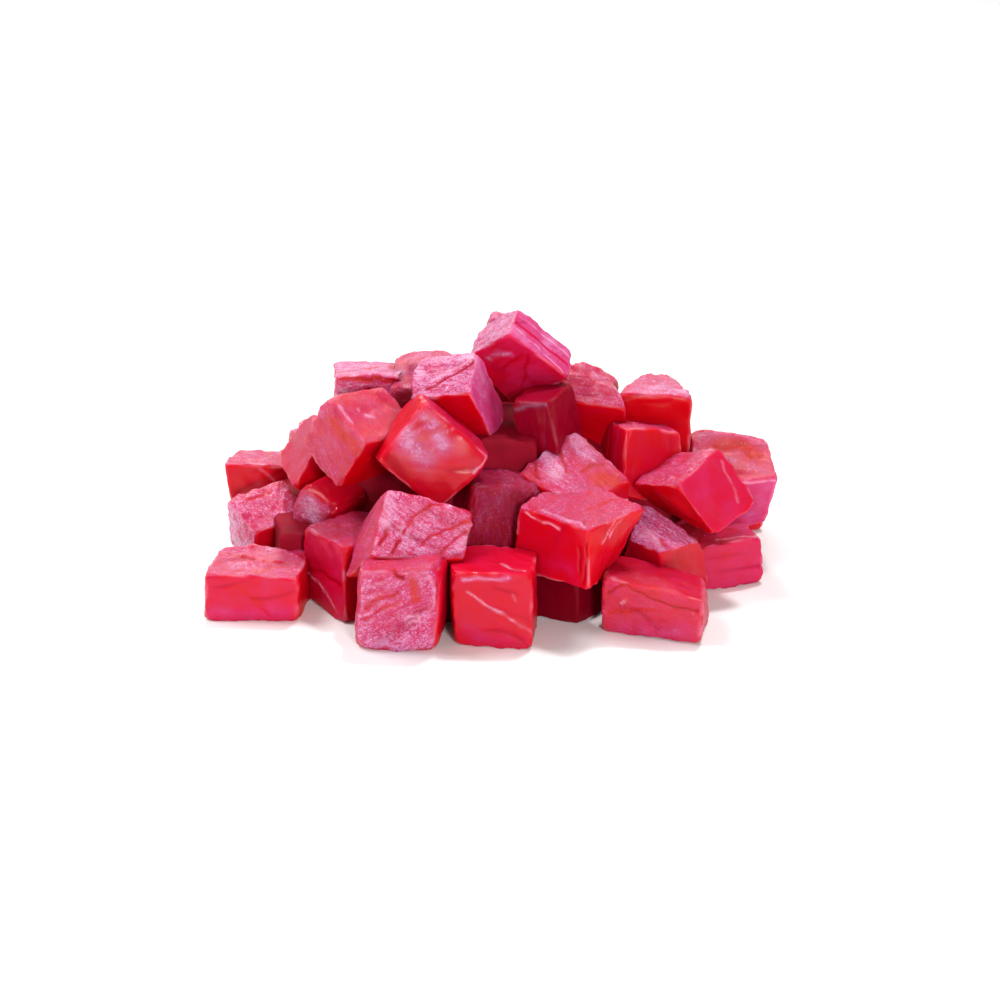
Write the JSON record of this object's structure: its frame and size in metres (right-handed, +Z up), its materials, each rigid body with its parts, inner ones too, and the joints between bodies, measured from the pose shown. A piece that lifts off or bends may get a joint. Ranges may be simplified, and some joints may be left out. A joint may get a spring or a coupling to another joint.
{
  "type": "heap of tuna poke cubes",
  "caption": "Loose heap of raw tuna cut in small uneven cubes, piled to a low mound, with wet pink cut tops and deep red sides.",
  "frame": {"origin": "middle of the heap's footprint, on the surface it lies on", "axes": "+Z up, the side shown in the picture faces -Y, +X to the right of that view and along the heap's longest extent"},
  "size_m": [0.1226, 0.1056, 0.0574],
  "materials": {
    "raw_tuna": "wet raw fish, red with pink cut tops"
  },
  "bodies": {
    "root": {"tuna_cubes": "raw_tuna"}
  },
  "joints": []
}
